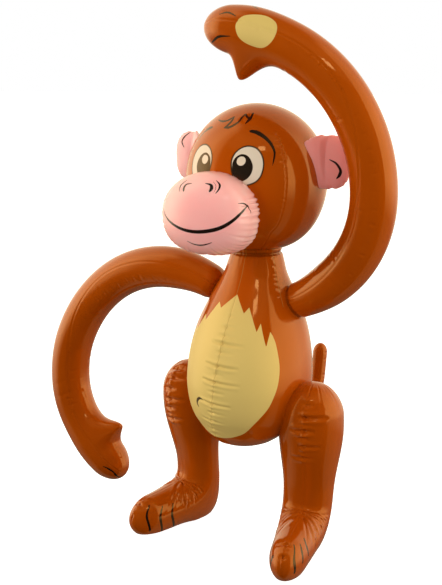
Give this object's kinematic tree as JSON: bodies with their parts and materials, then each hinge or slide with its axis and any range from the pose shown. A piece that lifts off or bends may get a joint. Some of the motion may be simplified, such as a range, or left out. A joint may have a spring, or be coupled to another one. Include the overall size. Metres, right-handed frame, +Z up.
{
  "type": "inflatable toy monkey",
  "caption": "Blown-up toy monkey of glossy welded film, standing, with one long arm curled over its head and the other curled down.",
  "frame": {"origin": "middle of the outline's base, on the plane that the soles stand on", "axes": "+Z up, -Y is the way it faces, +X is its own left side"},
  "size_m": [0.4334, 0.2622, 0.5429],
  "materials": {
    "brown_film": "glossy printed PVC film with the belly, palm, face and toe prints",
    "pink_film": "glossy pink PVC film with printed nostrils, smile and chin",
    "ear_film": "glossy deeper pink PVC film",
    "soft_valve": "soft moulded PVC, slightly clear"
  },
  "bodies": {
    "root": {"torso": "brown_film", "head": "brown_film", "muzzle": "pink_film", "ear_left": "ear_film", "ear_right": "ear_film", "arm_left": "brown_film", "arm_right": "brown_film", "leg_left": "brown_film", "leg_right": "brown_film", "tail": "brown_film", "valve": "soft_valve"}
  },
  "joints": []
}
